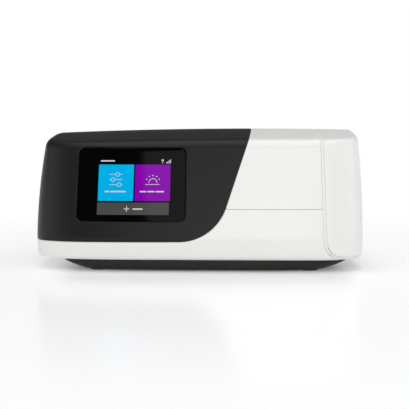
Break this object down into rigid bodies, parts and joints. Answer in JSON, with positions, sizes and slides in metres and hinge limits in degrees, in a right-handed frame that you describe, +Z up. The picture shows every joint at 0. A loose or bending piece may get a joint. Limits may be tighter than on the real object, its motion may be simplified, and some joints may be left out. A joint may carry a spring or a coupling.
{
  "type": "cpap machine",
  "caption": "Bedside breathing-air machine with a touch screen on a leaning dark front, a slide-out heated water tub, a blower, filter and rear air outlet",
  "frame": {"origin": "centre of the overall box in plan, on the surface that the feet stand on", "axes": "+X to the viewer's right and the way the tub slides out, +Y to the back where the air outlet points, +Z up"},
  "size_m": [0.25, 0.138, 0.1065],
  "materials": {
    "dark_shell": "satin moulded plastic",
    "white_shell": "satin moulded plastic",
    "grey_shell": "satin moulded plastic",
    "base_plastic": "fine-grained moulded plastic",
    "black_glass": "polished",
    "display_panel": "smooth",
    "sheet_metal": "stamped",
    "button_plastic": "smooth",
    "light_guide": "translucent, smooth",
    "board_green": "solder mask",
    "board_blue": "solder mask",
    "inner_plastic": "plain moulded plastic",
    "impeller_plastic": "plain moulded plastic",
    "black_rubber": "soft, matt",
    "mount_rubber": "soft, matt",
    "grey_silicone": "soft, satin",
    "blue_silicone": "soft, satin",
    "steel": "machined",
    "winding": "varnished copper wire",
    "plated_pin": "plated",
    "foam": "open-cell foam",
    "filter_felt": "white non-woven felt",
    "clear_tub": "clear moulded plastic, polished",
    "heater_metal": "anodised",
    "card_plastic": "plain moulded plastic",
    "sensor_plastic": "plain moulded plastic",
    "ribbon_film": "polyimide film"
  },
  "bodies": {
    "case": {"air_filter": "filter_felt", "air_outlet": "grey_shell", "base_tray": "base_plastic", "bay_trim": "white_shell", "blower_duct": "grey_silicone", "blower_lower": "inner_plastic", "blower_mount_1": "mount_rubber", "blower_mount_2": "mount_rubber", "blower_mount_3": "mount_rubber", "blower_upper": "inner_plastic", "button_board": "board_green", "card_socket": "sheet_metal", "case_screw_1": "steel", "case_screw_2": "steel", "case_screw_3": "steel", "case_screw_4": "steel", "chassis": "inner_plastic", "display_ribbon": "ribbon_film", "filter_frame": "inner_plastic", "flow_sensor": "sensor_plastic", "front_fascia": "dark_shell", "heater_plate": "heater_metal", "inlet_seal": "grey_silicone", "lcd_module": "display_panel", "lower_housing": "white_shell", "main_board": "board_green", "modem_board": "board_blue", "motor_bearing_lower": "steel", "motor_bearing_upper": "steel", "motor_stator": "winding", "muffler_foam": "foam", "outlet_elbow": "grey_silicone", "outlet_seal": "grey_silicone", "power_socket": "inner_plastic", "rear_panel": "white_shell", "rubber_foot_1": "black_rubber", "rubber_foot_2": "black_rubber", "rubber_foot_3": "black_rubber", "rubber_foot_4": "black_rubber", "screen_bracket": "sheet_metal", "socket_pin": "plated_pin", "start_light_ring": "light_guide", "touch_glass": "black_glass", "tub_bay": "inner_plastic", "upper_cover": "white_shell"},
    "start_button": {"start_button": "button_plastic"},
    "water_tub": {"tub_end_cap": "white_shell", "tub_base": "clear_tub", "tub_lid": "clear_tub", "tub_plate": "heater_metal", "tub_seal": "blue_silicone"},
    "filter_door": {"filter_cover": "grey_shell"},
    "card_door": {"card_cover": "grey_shell"},
    "data_card": {"memory_card": "card_plastic"},
    "blower_rotor": {"motor_shaft": "steel", "motor_rotor": "steel", "impeller": "impeller_plastic"}
  },
  "joints": [
    {"name": "start_button_press", "type": "slide", "parent": "case", "child": "start_button", "axis": [0.024, -0.1145, -0.9931], "range_m": [0, 0.0008], "stiffness_N_per_m": 900},
    {"name": "tub_slide", "type": "slide", "parent": "case", "child": "water_tub", "axis": [1, 0, 0], "range_m": [0, 0.115]},
    {"name": "filter_door_hinge", "type": "hinge", "parent": "case", "child": "filter_door", "pos_m": [-0.064, 0.0546, 0.034], "axis": [-1, 0, 0], "range_deg": [0, 90]},
    {"name": "card_door_hinge", "type": "hinge", "parent": "case", "child": "card_door", "pos_m": [-0.012, 0.0528, 0.075], "axis": [0, 0, -1], "range_deg": [0, 90]},
    {"name": "data_card_push", "type": "slide", "parent": "case", "child": "data_card", "axis": [0, -1, 0], "range_m": [0, 0.0015], "stiffness_N_per_m": 400},
    {"name": "blower_spin", "type": "hinge", "parent": "case", "child": "blower_rotor", "pos_m": [-0.06, 0.0015, 0.04], "axis": [0, 0, 1], "continuous": true}
  ]
}
